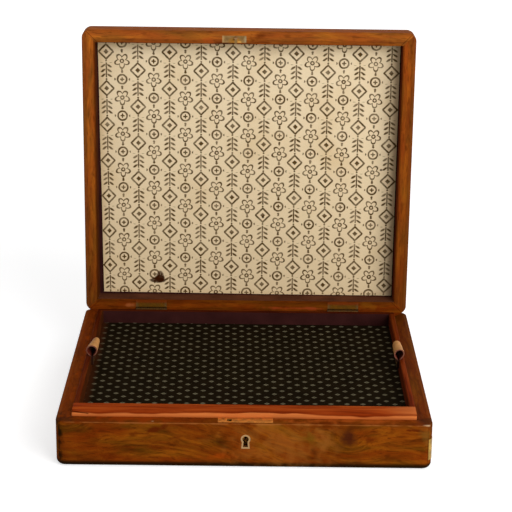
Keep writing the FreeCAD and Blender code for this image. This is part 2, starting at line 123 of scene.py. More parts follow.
def new_material(name):
    """An empty material, and the function that adds a node to it."""
    material = bpy.data.materials.new(name)
    material.use_nodes = True
    material.node_tree.nodes.clear()
    return material, partial(add_node, material.node_tree)


def finish(material, add, colour, roughness, relief, strength, depth, **sockets):
    """Lay a colour, a roughness and a fine relief, its depth in millimetres, on a material."""
    bump = add("Bump", Height=relief, Strength=strength, Distance=depth * MM)
    shader = add("BsdfPrincipled", Base_Color=colour, Roughness=roughness, Normal=bump, **sockets)
    add("OutputMaterial", shader)
    return material


# Finishes that a user would change

def colour_setting(name, description, code):
    return FloatVectorProperty(name=name, description=description, subtype="COLOR", size=3,
                               default=srgb(code))


def number_setting(name, description, default, **kind):
    return FloatProperty(name=name, description=description, default=default, **kind)


def length_setting(name, description, millimetres):
    return number_setting(name, description, millimetres * MM, subtype="DISTANCE", unit="LENGTH")


def angle_setting(name, description, degrees):
    return number_setting(name, description, math.radians(degrees), subtype="ANGLE", unit="ROTATION")


class WalnutLook(bpy.types.PropertyGroup):
    """Figured walnut under old wax."""
    pale: colour_setting("Pale figure", "Lightest streaks of the figure", "#8F4C0C")
    middle: colour_setting("Ground", "Main colour of the boards", "#773B09")
    brown: colour_setting("Deep ground", "Brown between the ground and the dark streaks", "#633006")
    dark: colour_setting("Dark figure", "Darkest streaks of the figure", "#3E1603")
    red: colour_setting("Red tint", "Warm patches that the wax brings out", "#7C2E05")
    olive: colour_setting("Olive tint", "Greenish brown patches between the warm ones", "#5E4108")
    rim: colour_setting("Rim", "Redder level face of the rim", "#6C2A04")
    # Painted shade: near-black in the rounding at the foot, also used down the left front corner and under
    # the strike plate.
    foot: colour_setting("Foot", "Shading in the rounding at the foot", "#181004")
    # The arrises are paler partly with wear and partly as a painted highlight.
    arris: colour_setting("Worn arris", "Edges rubbed through the finish", "#9A5D2C")
    figure_width: length_setting("Figure width", "Width of one dark streak, across the grain", 4.2)
    figure_length: length_setting("Figure length", "Length of one dark streak, along the grain", 34.0)
    fibre_width: length_setting("Fibre width", "Width of the fine lines inside the figure", 0.8)
    pore_length: length_setting("Pore length", "Length of the short dark pores", 5.0)


class TrayWoodLook(bpy.types.PropertyGroup):
    """Straight-grained reddish hardwood, planed and waxed."""
    pale: colour_setting("Pale", "Light lines of the grain", "#AE4F1A")
    middle: colour_setting("Ground", "Main colour", "#96390E")
    dark: colour_setting("Dark", "Dark lines of the grain", "#6A1F04")
    front: colour_setting("Rubbed front", "Front edge, rubbed pale by fingers", "#CE7439")
    grain_width: length_setting("Grain width", "Width of one line of the grain", 1.6)


class PaperLook(bpy.types.PropertyGroup):
    """Old papers glued into the lid, the tray and the walls."""
    cream: colour_setting("Lid paper", "Ground of the printed lid paper", "#E7D2AE")
    # Also the colour of painted shade towards the hinge end of the lid paper, and in part towards its right
    # edge.
    aged_and_shaded: colour_setting("Aged lid paper", "Browned patches and margins of the lid paper", "#CBAA76")
    ink: colour_setting("Ink", "Ink of the print", "#492F04")
    stain: colour_setting("Stain", "Old stain and specks", "#341402")
    column_pitch: length_setting("Column pitch", "Distance between two columns of motifs", 15.0)
    row_pitch: length_setting("Row pitch", "Distance between two motifs of one column", 17.6)
    stroke: length_setting("Stroke", "Width of a printed line", 1.65)
    wall_paper: colour_setting("Wall paper", "Plain dark paper on the walls", "#361917")
    # The next three colours are the same paper with painted light and shade, one for each wall.
    side_paper: colour_setting("Right wall paper", "The same paper on the right wall, recoloured", "#5A230B")
    left_paper: colour_setting("Left wall paper", "The same paper on the left, recoloured less", "#431E09")
    hinge_paper: colour_setting("Hinge wall paper", "The same paper beside the lid's hinges", "#55301F")
    tray_ground: colour_setting("Tray ground", "Ground of the tray's patterned paper", "#150E05")
    tray_motif: colour_setting("Tray motif", "Small pale motifs of the tray's paper", "#716A54")
    # Painted shadow of the tray's left wall on the left edge of the tray's paper.
    left_wall_shadow: colour_setting("Shadowed margin", "Shadow along the left edge of the tray's paper", "#3C1D0C")
    tray_pitch: length_setting("Tray pitch", "Distance between two motifs of one row", 13.78)
    tray_rows: length_setting("Tray rows", "Distance between two rows whose motifs stand alike", 14.18)


class LeatherLook(bpy.types.PropertyGroup):
    """Vegetable-tanned strap leather."""
    grain_side: colour_setting("Grain side", "Outer face of the strap", "#B47F4A")
    flesh_side: colour_setting("Flesh side", "Inner face of the strap", "#5E2216")
    cut_edge: colour_setting("Cut edge", "Edge of the strap, where it was cut", "#7A4A3A")
    # The tail is dark partly with grease and partly with painted shade, where it hangs by the tray.
    tail: colour_setting("Darkened tail", "Dark, greasy part of the strap near the tray", "#22100A")
    grain_size: length_setting("Grain size", "Width of one cell of the leather's grain", 0.7)


class MetalLook(bpy.types.PropertyGroup):
    """Small brass and nickel silver fittings."""
    brass: colour_setting("Rubbed brass", "Hinge ends and strike, rubbed golden", "#83633A")
    selvage: colour_setting("Lock edge", "Bright upper edge of the lock's plate", "#D08A38")
    guard: colour_setting("Corner brass", "Olive-gold of the corner guard", "#B28C3E")
    leaf: colour_setting("Hinge brass", "Olive-brown middle of the hinge leaves", "#845610")
    tarnish: colour_setting("Tarnish", "Dull skin on untouched brass", "#5A431C")
    # Painted shade on the knuckles, in the hinge line between lid and base.
    knuckle_shade: colour_setting("Shaded knuckles", "Old oil and dust on the hinge knuckles", "#2C1C0A")
    nickel_silver: colour_setting("Nickel silver", "The keyhole's rim", "#A28158")
    browned: colour_setting("Browned steel", "Key pin, dark with rust and oil", "#200F06")
    steel: colour_setting("Steel", "Bolt, spring and pins", "#7D7872")


class StudioLook(bpy.types.PropertyGroup):
    """Soft studio and the camera's place."""
    camera_place: FloatVectorProperty(
        name="Camera place", description="Where the camera stands",
        subtype="TRANSLATION", unit="LENGTH", size=3, default=(0.00277, -1.42451, 0.60261))
    camera_pitch: angle_setting("Camera pitch", "How far the camera looks down", 17.967)
    camera_yaw: angle_setting("Camera yaw", "How far the camera turns to its right", 0.229)
    camera_roll: angle_setting("Camera roll", "How far the camera leans to its left", 0.752)
    focal_length: number_setting("Focal length", "Lens on a 36 mm wide sensor, in millimetres", 119.36)
    key_power: number_setting("Key power", "Power of the large lamp at the right front, in watts", 50.0)
    top_power: number_setting("Top power", "Power of the lamp overhead, in watts", 5.0)
    back_power: number_setting("Back power", "Power of the lamp behind the box, in watts", 6.0)
    fill: number_setting("Fill", "Brightness of the surroundings on the object", 0.3)


class BoxLook(bpy.types.PropertyGroup):
    """All finishes of the box."""
    walnut: PointerProperty(type=WalnutLook)
    tray_wood: PointerProperty(type=TrayWoodLook)
    paper: PointerProperty(type=PaperLook)
    leather: PointerProperty(type=LeatherLook)
    metal: PointerProperty(type=MetalLook)
    studio: PointerProperty(type=StudioLook)


# Steps that several materials share

def shut_millimetres(add, opened=False):
    """Places on the box in millimetres, as they are with the lid shut."""
    turn = open_angle if opened else 0.0
    pivot = hinge_point / MM
    shift = pivot - Matrix.Rotation(turn, 3, "X") @ pivot
    spot = add("TexCoord").outputs["Object"]
    return add("Mapping", spot, Location=shift, Rotation=(turn, 0, 0), Scale=(1 / MM,) * 3)


def drawn_out(add, place, length, width, detail, shift=(0, 0, 0), **more):
    """Noise drawn out along X to a length and a width in millimetres, as grain and scratches are."""
    stretched = add("Mapping", place, Location=shift, Scale=(1 / length, 1 / width, 1 / width))
    return add("TexNoise", stretched, 1.0, detail, **more)


def tint(add, colour, other, strength, field, full, none, ease="SMOOTHSTEP"):
    """Mix a second colour in, at its strength where a field is full and not at all where it is none."""
    return add("Mix.RGBA", add("MapRange." + ease, field, full, none, strength, 0.0), colour, other)


def toned(add, colour, field, first, last, low=0.3, high=0.7):
    """Darken or lighten a colour, by a first amount where a field is low to a last where it is high."""
    return add("VectorMath.SCALE", colour, add("MapRange", field, low, high, first, last))


def oval(add, place, centre, half_sizes, lean=0.0):
    """Distance from a centre as a share of an oval's half sizes. It may lean, in degrees about Y."""
    local = add("VectorMath.SUBTRACT", place, centre)
    if lean:
        local = add("VectorRotate.Y_AXIS", local, Angle=math.radians(lean))
    return add("VectorMath.LENGTH", add("VectorMath.DIVIDE", local, half_sizes))


def swung(add, place, noise, amount):
    """Move a place to and fro by the colour of a noise, by an amount along each axis."""
    centred = add("VectorMath.SUBTRACT", noise.outputs["Color"], (0.5, 0.5, 0.5))
    return add("VectorMath.ADD", place, add("VectorMath.MULTIPLY", centred, amount))


def lay_board(add, shift, across, opened=False):
    """Places on a board, their three coordinates, and the same places turned with its length along X."""
    place = shut_millimetres(add, opened)
    turned = add("Mapping", place, Location=shift, Rotation=(0, 0, math.radians(90) if across else 0))
    return place, add("SeparateXYZ", place).outputs, turned


def shaded_along(add, colour, axes, across, shade, ends):
    """Scale a board's colour from one amount at its left or front end to another at the other end: its own
    tone together with painted light and shade.
    """
    run, reach = (axes["Y"], half_depth_mm) if across else (axes["X"], half_width_mm)
    return toned(add, colour, run, shade * ends[0], shade * ends[1], -reach, reach)


def nearest(add, first, *others):
    """The smallest of several distances, which joins their shapes."""
    for other in others:
        first = add("MINIMUM", first, other)
    return first


def from_edges(add, x, y, half_x, half_y):
    """Distances inwards from a rectangle's edges: in X, in Y and from the nearest edge."""
    from_x = add("SUBTRACT", half_x, add("ABSOLUTE", x))
    from_y = add("SUBTRACT", half_y, add("ABSOLUTE", y))
    return from_x, from_y, add("MINIMUM", from_x, from_y)


def edge_fields(add, x, y, z):
    """Distances in millimetres from the side, the outer and inner arris, the rim and the mitre."""
    from_x, from_y, side = from_edges(add, x, y, half_width_mm, half_depth_mm)
    from_rim = add("ABSOLUTE", add("SUBTRACT", z, rim_mm))
    outer = add("MAXIMUM", side, from_rim)
    inner = add("MAXIMUM", add("SUBTRACT", wall_mm, side), from_rim)
    mitre = add("ABSOLUTE", add("SUBTRACT", from_x, from_y))
    return side, outer, inner, from_rim, mitre


# Materials

def walnut(name, look, shift, across=False, opened=False, waviness=12.0, bold=1.0, shade=1.0,
           ends=(1.0, 1.0), falls=None, rim_red=0.6, inner_edge_shade=0.0, outer_edge_shade=0.0, paling=0.0,
           arris=0.15, knots=(), marks=()):
    """Figured walnut, waxed by hand for a long time.

    Orange-brown ground with flowing near-black streaks and closer growth lines, fine fibres,
    short pores, almost no gloss and a red-brown rim. Painted shade makes the rounding at the foot
    near-black and, where set, darkens the outer faces and a strip along the rim's inner edge;
    the arrises are paler, partly with wear and partly as a painted highlight.
    The board's length lies along X, or along Y if across."""
    material, add = new_material(name)
    place, axes, board = lay_board(add, shift, across, opened)
    if falls is not None:
        fall = add("MapRange.SMOOTHSTEP", axes["X"], *falls, 0.0, 0.3 * (falls[1] - falls[0]))
        board = add("VectorMath.ADD", board, add("CombineXYZ", Z=fall))
    wave = drawn_out(add, board, 80, 45, 2.0)
    bent = swung(add, board, wave, (waviness, 2 * waviness, 2 * waviness))
    for knot_place, size in knots:
        gap = add("VectorMath.DISTANCE", place, knot_place)
        pull = add("MapRange.SMOOTHSTEP", gap, 0.0, size * 3.5, size, 0.0)
        bent = add("VectorMath.ADD", bent, add("CombineXYZ", Y=pull, Z=pull))

    streaks = drawn_out(add, bent, bold * look.figure_length / MM, bold * look.figure_width / MM, 4.0,
                        Roughness=0.6, Distortion=0.4)
    rings = add("PINGPONG", add("MULTIPLY", drawn_out(add, bent, 170, 26, 1.0), 9.0), 0.5)
    patches = add("MULTIPLY", drawn_out(add, board, 55, 18, 2.0), 0.38)
    figure = add("MULTIPLY_ADD", rings, 0.16, add("MULTIPLY_ADD", streaks, 0.55, patches))
    colour = add("ValToRGB", figure, stops=[
        (0.31, look.dark), (0.43, look.brown), (0.51, look.middle), (0.61, look.pale)])
    hue = drawn_out(add, board, 38, 9, 3.0, shift=(40, 3, 9))
    colour = tint(add, colour, look.red, 0.65, hue, 0.66, 0.42, "LINEAR")
    colour = tint(add, colour, look.olive, 0.3, hue, 0.32, 0.46, "LINEAR")
    # Mixed towards the pale arris colour: paler and less saturated.
    colour = add("Mix.RGBA", paling, colour, look.arris)
    side, outer, inner, from_rim, mitre = edge_fields(add, *axes)
    colour = tint(add, colour, look.rim, rim_red, from_rim, 0.35, 0.7, "LINEAR")
    # Painted shade on a strip of the rim along its inner edge.
    colour = tint(add, colour, look.dark, inner_edge_shade, inner, 3.0, 4.4)

    fibres = drawn_out(add, bent, 22, look.fibre_width / MM, 3.0)
    pores = drawn_out(add, bent, look.pore_length / MM, 0.5, 1.0)
    flecks = drawn_out(add, bent, 11, 1.7, 0.0)
    colour = shaded_along(add, toned(add, colour, fibres, 0.84, 1.14), axes, across, shade, ends)
    colour = tint(add, colour, look.dark, 0.35, pores, 0.68, 0.6, "LINEAR")
    colour = tint(add, colour, look.dark, 0.4, flecks, 0.74, 0.66, "LINEAR")
    # Painted shade in the rounding at the foot.
    colour = tint(add, colour, look.foot, 0.92, axes["Z"], 3.6, 7.0)
    # Painted shade on the outer faces and their rounding.
    colour = tint(add, colour, look.dark, outer_edge_shade, side, 0.5, 2.2)

    nibble = add("MapRange", add("TexNoise", place, 0.11, 4.0), 0.35, 0.65, -0.3, 0.7)
    # Paler along the outer arrises: partly wear, partly a painted highlight.
    colour = tint(add, colour, look.arris, arris, add("ADD", outer, nibble), 0.5, 1.3)
    colour = tint(add, colour, look.dark, 0.8, mitre, 0.12, 0.5, "LINEAR")
    for centre, half_sizes, lean, spot_colour, strength, soft in marks:
        ragged = add("ADD", oval(add, place, centre, half_sizes, lean), nibble)
        colour = tint(add, colour, spot_colour, strength, ragged, 0.8 - soft, 0.8 + soft)
    rough = add("MapRange", fibres, 0.0, 1.0, 0.5, 0.65)
    return finish(material, add, colour, rough, fibres, 0.3, 0.1, IOR=1.5, Specular_IOR_Level=0.006)


def tray_hardwood(name, look, shift, across=False, shade=1.0, ends=(1.0, 1.0), front_y=None, top_z=None):
    """Straight-grained hardwood, planed and waxed: thin parallel lines, redder than the walnut.

    With a front, its front arris is rubbed to a salmon band of wandering width, painted shade
    lies as a dark red streak just behind it, and its right end is rubbed pale."""
    material, add = new_material(name)
    axes, board = lay_board(add, shift, across)[1:]
    wave = drawn_out(add, board, 90, 30, 1.0).outputs["Color"]
    bent = add("VectorMath.ADD", board, add("VectorMath.SCALE", wave, 7.0))
    lines = drawn_out(add, bent, 90, look.grain_width / MM, 4.0, Roughness=0.6)
    grain = add("Mix.FLOAT", 0.5, lines, drawn_out(add, bent, 60, 6, 2.0))
    colour = add("ValToRGB", grain, stops=[(0.36, look.dark), (0.5, look.middle), (0.64, look.pale)])
    colour = shaded_along(add, colour, axes, across, shade, ends)
    if front_y is not None:
        x, y, z = axes
        colour = tint(add, colour, look.front, 0.55, x, 146.0, 112.0)
        swell = add("COSINE", add("MULTIPLY", x, 2 * math.pi / 205))
        ripple = add("TexNoise.1D", add("MULTIPLY", x, 0.035), 1.0, 1.0)
        wander = add("MULTIPLY_ADD", swell, 1.2, add("MapRange", ripple, 0.3, 0.7, -1.6, 0.2))
        behind = add("SUBTRACT", y, front_y / MM)
        below = add("SUBTRACT", top_z / MM, z)
        past = add("SUBTRACT", add("SUBTRACT", behind, below), wander)
        # Painted shade: a dark red band on the top just behind the worn arris.
        shaded_behind_arris = tint(add, colour, look.dark, 0.75, past, 0.3, 4.5)
        rubbed = tint(add, look.front, look.middle, 0.45, below, 4.6, 2.6, "LINEAR")
        rubbed = toned(add, rubbed, grain, 0.8, 1.15, 0.35, 0.65)
        colour = tint(add, shaded_behind_arris, rubbed, 0.9, past, -1.0, 0.5)
    return finish(material, add, colour, 0.55, lines, 0.3, 0.1, IOR=1.5, Specular_IOR_Level=0.006)


def plain_softwood(name):
    """Planed deal, unfinished: pale yellow-brown with soft straight bands and no gloss."""
    material, add = new_material(name)
    bands = drawn_out(add, shut_millimetres(add), 120, 4, 3.0)
    colour = add("ValToRGB", bands, stops=[
        (0.35, srgb("#8E6434")), (0.5, srgb("#B58A54")), (0.7, srgb("#C9A26C"))])
    return finish(material, add, colour, 0.8, bands, 0.3, 0.2)


def wall_paper(name, look, opened=False, sides_from=None, hinges_from=None):
    """Dyed paper of a dark aubergine: matt, with soft clouds and faint fibres.

    On the walls to the left and right, from a given distance off the middle, it turns red-brown,
    and on the wall past a given place towards the hinges it is a paler brown: painted light and shade for
    each wall."""
    material, add = new_material(name)
    place = shut_millimetres(add, opened)
    x, y = add("SeparateXYZ", place).outputs[:2]
    dye_and_shading = look.wall_paper
    # Painted light and shade: the right, left and hinge-side walls each get their own colour of the paper.
    if sides_from is not None:
        dye_and_shading = add("Mix.RGBA", add("GREATER_THAN", x, sides_from), dye_and_shading, look.side_paper)
        dye_and_shading = add("Mix.RGBA", add("LESS_THAN", x, -sides_from), dye_and_shading, look.left_paper)
    if hinges_from is not None:
        dye_and_shading = add("Mix.RGBA", add("GREATER_THAN", y, hinges_from), dye_and_shading, look.hinge_paper)
    colour = toned(add, dye_and_shading, add("TexNoise", place, 0.05, 3.0), 0.75, 1.22)
    specks = add("TexNoise", place, 1.2, 2.0)
    return finish(material, add, colour, 0.8, specks, 0.3, 0.1, Specular_IOR_Level=0.012)


def length_of(add, across, along, moved_across=0.0, moved_along=0.0):
    """Distance of a place from a point, from its two coordinates."""
    return add("VectorMath.DISTANCE", add("CombineXYZ", across, along), (moved_across, moved_along, 0))


def outline_of(add, distance, half_stroke):
    """Distance from a line of some thickness, negative inside it."""
    return add("SUBTRACT", add("ABSOLUTE", distance), half_stroke)


def cell_of(add, run, pitch):
    """The number of the cell that a place falls in, and its distance from the cell's middle."""
    number = add("ROUND", add("DIVIDE", run, pitch))
    return number, add("SUBTRACT", run, add("MULTIPLY", number, pitch))


def blossom(add, radius, angle, half_stroke):
    """Five round petals drawn as an outline round a small ring."""
    lobe = add("ABSOLUTE", add("COSINE", add("MULTIPLY", angle, 2.5)))
    reach = add("MapRange", lobe, 0.0, 1.0, 2.9, 5.9)
    petals = outline_of(add, add("SUBTRACT", radius, reach), half_stroke)
    ring = outline_of(add, add("SUBTRACT", radius, 1.3), half_stroke * 0.8)
    return nearest(add, petals, ring)


def sprig(add, wide, tall, along, half_stroke):
    """A straight stem with three pairs of slender leaves."""
    beside = add("SUBTRACT", wide, half_stroke * 0.8)
    stem = add("MAXIMUM", beside, add("SUBTRACT", tall, 6.0))
    step = 3.9
    turns = add("FLOORED_MODULO", add("ADD", along, 1.5 * step), step)
    spot = add("CombineXYZ", wide, add("SUBTRACT", turns, 0.55 * step))
    tilted = add("Mapping", spot, Location=(-2.4, 1.2, 0), Rotation=(0, 0, math.radians(-35)))
    squeezed = add("VectorMath.LENGTH", add("VectorMath.MULTIPLY", tilted, (1 / 2.3, 1 / 0.85, 1)))
    leaf = add("MULTIPLY", add("SUBTRACT", squeezed, 1.0), 0.85)
    return nearest(add, stem, add("MAXIMUM", leaf, add("SUBTRACT", tall, 6.2)))


def dotted_ring(add, wide, tall, radius, angle, half_stroke):
    """A ring with four dots outside it and a small four-lobed figure inside."""
    ring = outline_of(add, add("SUBTRACT", radius, 3.7), half_stroke)
    off_dot = length_of(add, add("MAXIMUM", wide, tall), add("MINIMUM", wide, tall), 6.2)
    wave = add("COSINE", add("MULTIPLY", angle, 4.0))
    reach = add("MapRange", wave, -1.0, 1.0, 0.9, 1.9)
    return nearest(add, ring, add("SUBTRACT", off_dot, 0.95), add("SUBTRACT", radius, reach))


def lozenge(add, wide, tall, half_stroke):
    """Two diamonds, one inside the other, the inner one filled."""
    slant = add("MULTIPLY", add("ADD", wide, tall), 0.707)
    outer = outline_of(add, add("SUBTRACT", slant, 4.2), half_stroke)
    return nearest(add, outer, add("SUBTRACT", slant, 1.5))


def lid_print(add, flat, look):
    """How much ink lies at a place of the lid paper: four small motifs in staggered columns."""
    drop = look.row_pitch / MM
    printed = swung(add, flat, add("TexNoise", flat, 0.5, 2.0), (0.9,) * 3)
    x, y = add("SeparateXYZ", printed).outputs[:2]
    column, across = cell_of(add, x, look.column_pitch / MM)
    odd = add("FLOORED_MODULO", column, 2.0)
    row, along = cell_of(add, add("ADD", y, add("MULTIPLY", odd, drop / 2)), drop)
    off_dot = length_of(add, across, add("ABSOLUTE", along), 0.0, drop / 2)
    motif_scale = 1.17
    across = add("DIVIDE", across, motif_scale)
    along = add("DIVIDE", along, motif_scale)
    half_stroke = look.stroke / MM / 2 / motif_scale
    radius = length_of(add, across, along)
    angle = add("ARCTAN2", across, along)
    kind = add("FLOORED_MODULO", add("ADD", column, add("MULTIPLY", row, 2.0)), 4.0)
    wide = add("ABSOLUTE", across)
    tall = add("ABSOLUTE", along)
    distance = blossom(add, radius, angle, half_stroke)
    others = [sprig(add, wide, tall, along, half_stroke),
              dotted_ring(add, wide, tall, radius, angle, half_stroke),
              lozenge(add, wide, tall, half_stroke)]
    for number, motif in enumerate(others, 1):
        distance = add("Mix.FLOAT", add("COMPARE", kind, number, 0.1), distance, motif)
    joined = nearest(add, distance, add("SUBTRACT", off_dot, 0.9))
    return add("MapRange.SMOOTHSTEP", joined, -0.25, 0.25, 1.0, 0.0)


def printed_paper(name, look, half_size):
    """Block-printed rag paper, browned over the years and with painted shade: cream, matt, with uneven
    brown-black ink.
    """
    material, add = new_material(name)
    width, height = (2 * half / MM for half in half_size)
    sheet = add("UVMap.UVMap")
    flat = add("Mapping", sheet, Location=(-width / 2, -height / 2, 0), Scale=(width, height, 1))
    x, y = add("SeparateXYZ", flat).outputs[:2]
    margin = from_edges(add, x, y, width / 2, height / 2)[2]
    clouds = add("TexNoise", flat, 0.018, 4.0)
    fibres = add("TexNoise", flat, 0.9, 3.0)
    age_and_shade = add("MapRange.SMOOTHSTEP", margin, 0.0, 12.0, 0.55, 0.0)
    # The clouds and the margins brown over the years. The browning towards the right edge is partly that and
    # partly a painted shadow of the right rail, and the browning towards the hinge end is painted shade.
    for browned in (add("MapRange", clouds, 0.42, 0.75, 0.0, 0.5),
                    add("MapRange.SMOOTHSTEP", x, width / 2 - 16, width / 2, 0.0, 0.5),
                    add("MapRange", y, -height / 2, height / 2, 0.0, 0.35)):
        age_and_shade = add("MAXIMUM", age_and_shade, browned)
    ground = toned(add, add("Mix.RGBA", age_and_shade, look.cream, look.aged_and_shaded), fibres, 0.95, 1.04)
    cover = add("MapRange", add("TexNoise", flat, 0.12, 4.0), 0.3, 0.6, 0.72, 0.97)
    inked = add("MULTIPLY", lid_print(add, flat, look), cover)
    colour = add("Mix.RGBA", inked, ground, look.ink)
    frayed = add("MapRange", add("TexNoise", flat, 0.45, 3.0), 0.0, 1.0, 0.35, 0.65)
    # One stain of three joined ovals, and two specks
    for centre, half_sizes, strength in (
            ((-84.6, 108.4, 0), (3.7, 6.6, 1), 0.8), ((-85.2, 110.0, 0), (5.4, 3.8, 1), 0.9),
            ((-87.0, 112.0, 0), (8.2, 2.8, 1), 0.9), ((15.4, 45.9, 0), (1.2, 1.4, 1), 0.85),
            ((128.4, -2.5, 0), (1.3, 1.1, 1), 0.85)):
        gap = add("ADD", oval(add, flat, centre, half_sizes), frayed)
        colour = tint(add, colour, look.stain, strength, gap, 1.3, 1.6)
    return finish(material, add, colour, 0.85, fibres, 0.25, 0.1, Specular_IOR_Level=0.012)


def patterned_paper(name, look):
    """Dark paste paper printed with rows of small pale flowers: matt, a little uneven."""
    material, add = new_material(name)
    place = shut_millimetres(add)
    pitch = look.tray_pitch / MM
    drop = look.tray_rows / MM
    skew = add("Mapping", place, Location=(126.51, 69.12, 0), Rotation=(0, 0, math.radians(-0.8)))
    x, y = add("SeparateXYZ", skew).outputs[:2]
    row, along = cell_of(add, y, drop / 2)
    odd = add("FLOORED_MODULO", row, 2.0)
    across = cell_of(add, add("ADD", x, add("MULTIPLY", odd, pitch / 2)), pitch)[1]
    flattened = add("MULTIPLY", along, 1.2)
    radius = length_of(add, across, flattened)
    wave = add("COSINE", add("MULTIPLY", add("ARCTAN2", across, flattened), 4.0))
    petals = add("SUBTRACT", radius, add("MapRange", wave, -1.0, 1.0, 1.6, 2.2))
    flower = add("MAXIMUM", petals, add("SUBTRACT", 0.7, radius))
    printed = add("MapRange.SMOOTHSTEP", flower, -0.6, 0.6, 1.0, 0.0)
    clouds = add("TexNoise", place, 0.06, 4.0)
    cover = add("MULTIPLY", printed, add("MapRange", clouds, 0.3, 0.6, 0.7, 1.0))
    colour = add("Mix.RGBA", cover, toned(add, look.tray_ground, clouds, 0.75, 1.25), look.tray_motif)
    # Painted shadow of the left wall along the left edge of the paper.
    from_left = add("ADD", add("SeparateXYZ", place).outputs["X"], half_width_mm - wall_mm)
    colour = tint(add, colour, look.left_wall_shadow, 0.85, from_left, 3.5, 11.0)
    fibres = add("TexNoise", place, 1.1, 2.0)
    return finish(material, add, colour, 0.8, fibres, 0.25, 0.1, Specular_IOR_Level=0.012)


def strap_leather(name, look, colour):
    """Vegetable-tanned leather, handled for years: pebbled, half matt, nearly black at the tray."""
    material, add = new_material(name)
    place = shut_millimetres(add)
    pebbles = add("TexVoronoi", place, Scale=MM / look.grain_size)
    colour = toned(add, colour, add("TexNoise", place, 0.16, 3.0), 0.78, 1.15)
    height = add("SeparateXYZ", place).outputs["Z"]
    # The tail near the tray darkened: partly grease, partly painted shade.
    colour = tint(add, colour, look.tail, 0.95, height, rim_mm + 3.6, rim_mm + 6.6)
    return finish(material, add, colour, 0.55, pebbles, 0.3, 0.12, IOR=1.5, Specular_IOR_Level=0.05)


def aged_brass(name, look, colour, opened=False, knuckled=False, rubs=()):
    """Sheet brass under a smooth olive-brown skin, rubbed brighter in places.

    On a hinge the ends of each leaf are bright, and painted shade darkens the knuckles in the hinge line."""
    material, add = new_material(name)
    place = shut_millimetres(add, opened)
    clouds = add("TexNoise", place, 0.22, 4.0, Roughness=0.55)
    colour = tint(add, colour, look.tarnish, 0.6, clouds, 0.68, 0.42, "LINEAR")
    if knuckled:
        x, y, z = add("SeparateXYZ", place).outputs
        off_middles = []
        for side in ("left", "right"):
            low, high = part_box("hinge_" + side + "_base_leaf")
            off_middles.append(add("ABSOLUTE", add("SUBTRACT", x, (low.x + high.x) / 2 / MM)))
        off_middle = nearest(add, *off_middles)
        colour = tint(add, colour, look.brass, 0.6, off_middle, 14.0, 11.5)
        upright = add("CombineXYZ", Y=y, Z=z)
        from_pin = add("VectorMath.DISTANCE", upright, (0, hinge_point.y / MM, rim_mm))
        # Painted shade on the knuckles, in the hinge line between lid and base.
        colour = tint(add, colour, look.knuckle_shade, 0.85, from_pin, 2.4, 3.2, "LINEAR")
    for centre, half_sizes, rub_colour, strength in rubs:
        colour = tint(add, colour, rub_colour, strength, oval(add, place, centre, half_sizes), 0.3, 1.1)
    scratches = drawn_out(add, place, 10 / 3, 0.2, 2.0)
    rough = add("MapRange", scratches, 0.0, 1.0, 0.38, 0.52)
    return finish(material, add, colour, rough, scratches, 0.1, 0.04, Metallic=0.9)


def plain_metal(name, colour, roughness):
    """Filed metal with fine scratches and slightly uneven tone."""
    material, add = new_material(name)
    scratches = drawn_out(add, shut_millimetres(add), 2, 0.2, 3.0)
    colour = toned(add, colour, scratches, 0.8, 1.15, 0.0, 1.0)
    rough = add("MapRange", scratches, 0.0, 1.0, roughness - 0.1, roughness + 0.12)
    return finish(material, add, colour, rough, scratches, 0.15, 0.05, Metallic=1.0)


def shown_rays(add):
    """One for the rays that show the background: from the camera, off gloss and through glass."""
    rays = add("LightPath").outputs
    seen = add("MAXIMUM", rays["Is Camera Ray"], rays["Is Glossy Ray"])
    return add("MAXIMUM", seen, rays["Is Transmission Ray"])


def paint(node_names, material):
    """Give CAD nodes one material."""
    for node_name in node_names:
        node = nodes[node_name]
        if not node.material_slots:
            node.data.materials.append(material)
        for slot in node.material_slots:
            slot.material = material


# Modelling steps

def lid_opening():
    """The turn that swings the shut lid open about its hinge pins."""
    there = Matrix.Translation(hinge_point)
    return there @ Matrix.Rotation(-open_angle, 4, "X") @ there.inverted()


def deselect_all():
    """Leave edit mode, with nothing selected."""
    if bpy.context.object and bpy.context.object.mode != "OBJECT":
        bpy.ops.object.mode_set(mode="OBJECT")
    bpy.ops.object.select_all(action="DESELECT")


def pick(piece):
    """Make a piece the active object and the only one selected."""
    deselect_all()
    bpy.context.view_layer.objects.active = piece
    piece.select_set(True)


def begin(name):
    """Take the primitive that was just added as the active object, under its own name."""
    piece = bpy.context.object
    piece.name = name
    piece.data.name = name
    return piece


def block(name, place, size, lean=0.0):
    """A box of a size round a place, leaning about Y, with all that in its mesh."""
    deselect_all()
    bpy.ops.mesh.primitive_cube_add(size=1, location=place, rotation=(0, lean, 0))
    piece = begin(name)
    piece.scale = size
    bpy.ops.object.transform_apply(location=True, rotation=True, scale=True)
    return piece


def apply_modifier(piece, kind, **settings):
    pick(piece)
    modifier = piece.modifiers.new(kind.title(), kind)
    for option, value in settings.items():
        setattr(modifier, option, value)
    bpy.ops.object.modifier_apply(modifier=modifier.name)


def settle(piece, body, material=None):
    """Put the piece's place into its mesh, and give it its body and material."""
    pick(piece)
    bpy.ops.object.transform_apply(location=True, rotation=True, scale=True)
    if material is not None:
        piece.data.materials.clear()
        piece.data.materials.append(material)
    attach(piece, body)


# Operators

